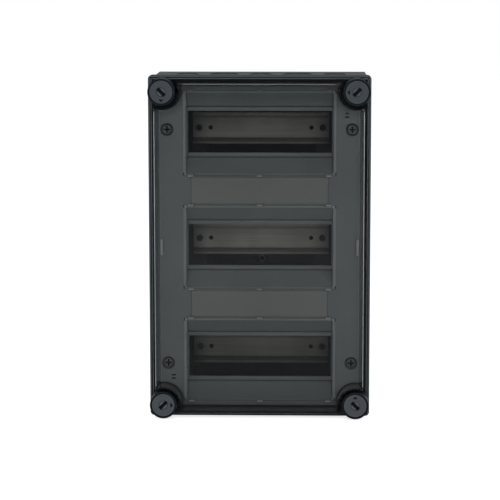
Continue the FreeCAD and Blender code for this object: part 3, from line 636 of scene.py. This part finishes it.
def make_line_tree():
    tree, given = new_shape("Edge lines", Reach=0.11270, Level=0.14930, Length=0.300, Thickness=0.00042,
                            Top_height=0.17970, Top_length=0.164, Top_thickness=0.00026)
    front = calc(tree, "MULTIPLY", given["Level"], -1.0)
    upright = rod(tree, given["Thickness"], given["Length"])
    rods = [placed(tree, upright, spot(tree, X=calc(tree, "MULTIPLY", given["Reach"], side), Y=front))
            for side in (-1.0, 1.0)]
    across = rod(tree, given["Top thickness"], given["Top length"])
    rods.append(placed(tree, across, spot(tree, Y=front, Z=given["Top height"]), (0, QUARTER, 0)))
    return end_shape(tree, joined(tree, rods), clear_edge)


keep_shape("edge_lines", make_line_tree())

# %% [markdown]
# ## Pale faces on the inner cover
# The two short ribs at the sides of the cover and the small clips at the edges of the window units
# stand a little proud, and a pale finish paints a highlight on their faces. The upright edges of the
# window units get a weaker painted highlight in the same way. One thin plate is placed for each face.

# %% Rubbed faces and unit edges
def make_face_tree(name, faces, material):
    """A thin plate for each (x, y, z, width, height)."""
    tree, given = new_shape(name, Thickness=0.0002)
    plates = []
    for x, y, z, width, height in faces:
        plate = add_node(tree, "GeometryNodeMeshCube")
        wire(tree, plate, Size=spot(tree, X=width, Y=given["Thickness"], Z=height))
        plates.append(placed(tree, plate.outputs["Mesh"], (x, y, z)))
    return end_shape(tree, joined(tree, plates), material)


rib_x, rib_front, rib_size = 0.1072, -0.12555, (0.0028, 0.0176)
rib_faces = [(x, rib_front, 0, *rib_size) for x in (-rib_x, rib_x)]
clip_pitch, clip_front, clip_size = 0.0752, -0.12545, (0.0060, 0.0015)
clip_heights = (0.0784, 0.0466, -0.0466, -0.0784, -0.1716)
clip_faces = [(x, clip_front, z, *clip_size) for z in clip_heights for x in (-clip_pitch, 0, clip_pitch)]
highlight_tree = make_face_tree("Highlight faces", rib_faces + clip_faces, proud_highlight)
keep_shape("highlight_faces", highlight_tree)

edge_x, edge_front, edge_size = 0.0822, -0.1241, (0.0024, 0.086)
edge_faces = [(x, edge_front, z, *edge_size) for x in (-edge_x, edge_x) for z in (-ROW_PITCH, 0, ROW_PITCH)]
keep_shape("unit_edges", make_face_tree("Unit edges", edge_faces, edge_pale))

# %% [markdown]
# ## Boss ring
# The boss below the middle rail ends in a small smooth ring in a pale finish, a painted highlight
# of the boss's edge, which shows as a light circle on the dark floor.

# %% Boss ring
def make_ring_tree():
    tree, given = new_shape("Boss ring", Radius=0.0033, Thickness=0.0005)
    path = add_node(tree, "GeometryNodeCurvePrimitiveCircle")
    wire(tree, path, Resolution=48, Radius=given["Radius"])
    ring = swept(tree, path.outputs["Curve"], given["Thickness"], 10)
    return end_shape(tree, placed(tree, ring, turn=(QUARTER, 0, 0)), pale_strip)


boss_z, boss_front = -0.029, -0.0111
keep_shape("boss_ring", make_ring_tree(), (0, boss_front, boss_z))

# %% [markdown]
# ## Skins in the fixing holes
# The holes for the wall screws are moulded blind: a skin of under a millimetre closes each one
# near the wall, and the fitter pierces those that are needed. One disc is placed in each of them.

# %% Hole skins
def make_skin_tree(spots):
    tree, given = new_shape("Hole skins", Radius=0.0027, Thickness=0.0008)
    disc = add_node(tree, "GeometryNodeMeshCylinder")
    wire(tree, disc, Vertices=32, Radius=given["Radius"], Depth=given["Thickness"])
    discs = [placed(tree, disc.outputs["Mesh"], place, (QUARTER, 0, 0)) for place in spots]
    return end_shape(tree, joined(tree, discs), black_base)


hole_x, hole_z, skin_y = 0.085, 0.165, -0.0010
hole_spots = [(x, skin_y, z) for x in (-hole_x, hole_x) for z in (-hole_z, hole_z)] + [(0, skin_y, boss_z)]
keep_shape("hole_skins", make_skin_tree(hole_spots))

# %% [markdown]
# ## Floor and backdrop
# The photograph has a plain white ground. The floor is a very pale sheet that shows the camera
# nearly white and still keeps a faint shadow under the box.

# %% Floor
def make_floor():
    bpy.ops.mesh.primitive_plane_add(size=12, location=(0, 0, cad_box[0][2]))
    floor = bpy.context.object
    floor.name = "floor"
    material = bpy.data.materials.new("pale_floor")
    material.use_nodes = True
    tree = material.node_tree
    cloud = wire(tree, add_node(tree, "ShaderNodeTexNoise"), Scale=3.0, Detail=4.0).outputs["Fac"]
    rays = add_node(tree, "ShaderNodeLightPath")
    wire(tree, tree.nodes["Principled BSDF"], Base_Color=spread(tree, cloud, (0.0, 1.0), (0.86, 0.9)),
         Roughness=0.9, Emission_Color=(1, 1, 1, 1),
         Emission_Strength=calc(tree, "MULTIPLY", rays.outputs["Is Camera Ray"], 0.7))
    floor.data.materials.append(material)
    return floor


floor = make_floor()
print("floor at", round(floor.location.z, 4))

# %% [markdown]
# The world is white to the camera, so the ground stays plain behind the box and through the clear
# lid. To every other ray it is a soft sky at under half that strength.

# %% World
def make_world():
    world = bpy.data.worlds.new("studio")
    world.use_nodes = True
    tree = world.node_tree
    tree.nodes.clear()
    rays = add_node(tree, "ShaderNodeLightPath").outputs
    soft = wire(tree, add_node(tree, "ShaderNodeBackground"), Color=(0.90, 0.97, 1.0, 1), Strength=0.45)
    white = wire(tree, add_node(tree, "ShaderNodeBackground"), Color=(1, 1, 1, 1), Strength=1.0)
    seen = calc(tree, "MAXIMUM", rays["Is Camera Ray"], rays["Is Transmission Ray"])
    mix = add_node(tree, "ShaderNodeMixShader")
    for socket, source in zip(mix.inputs, (seen, soft.outputs[0], white.outputs[0])):
        feed(tree, socket, source)
    tree.links.new(mix.outputs[0], add_node(tree, "ShaderNodeOutputWorld").inputs["Surface"])
    return world


scene.world = make_world()
print("world", scene.world.name)

# %% [markdown]
# ## Light
# A broad lamp above the camera gives the even light, two broad ones at the sides reach into the
# windows, and two narrow strips far out at the sides draw thin light lines along the edges of
# the lid and on the rims of the fastener heads.

# %% Lamps
def lamp(name, place, aim, size, power):
    data = bpy.data.lights.new(name, "AREA")
    data.shape = "RECTANGLE"
    data.size, data.size_y = size
    data.energy = power
    light = bpy.data.objects.new(name, data)
    light.location = place
    light.rotation_euler = (Vector(aim) - Vector(place)).to_track_quat("-Z", "Y").to_euler()
    scene.collection.objects.link(light)
    return light


middle, front_face = (0, -0.1, 0), (0, -0.12, 0)
lamp("main", (0.1, -1.9, 1.0), middle, (1.6, 0.7), 21)
for name, side in (("left", -1), ("right", 1)):
    lamp("fill_" + name, (side * 1.25, -1.6, 0.15), middle, (0.5, 1.2), 12)
for name, side in (("left", -1), ("right", 1)):
    lamp("strip_" + name, (side * 1.7, -0.55, 0.1), front_face, (0.1, 1.6), 7)

# %% [markdown]
# ## Camera
# The photograph was taken from a little above and right of the middle, with the film plane almost
# parallel to the lid, so the outline stays a rectangle. A long lens from the same side, with a
# small shift, gives that view and still suits other views.

# %% Camera
def make_camera():
    data = bpy.data.cameras.new("camera")
    data.sensor_width = 36.0
    data.lens = 139.94
    data.shift_x, data.shift_y = -0.03, -0.03
    data.clip_end = 50
    camera = bpy.data.objects.new("camera", data)
    camera.location = (0.0492, -2.2262, 0.3129)
    tilt_down, turn_left = 8.10, 1.18
    camera.rotation_euler = (math.radians(90 - tilt_down), 0, math.radians(turn_left))
    scene.collection.objects.link(camera)
    scene.camera = camera
    return camera


camera = make_camera()
scene.view_settings.view_transform = "Standard"
print("lens", round(camera.data.lens, 1), "mm")
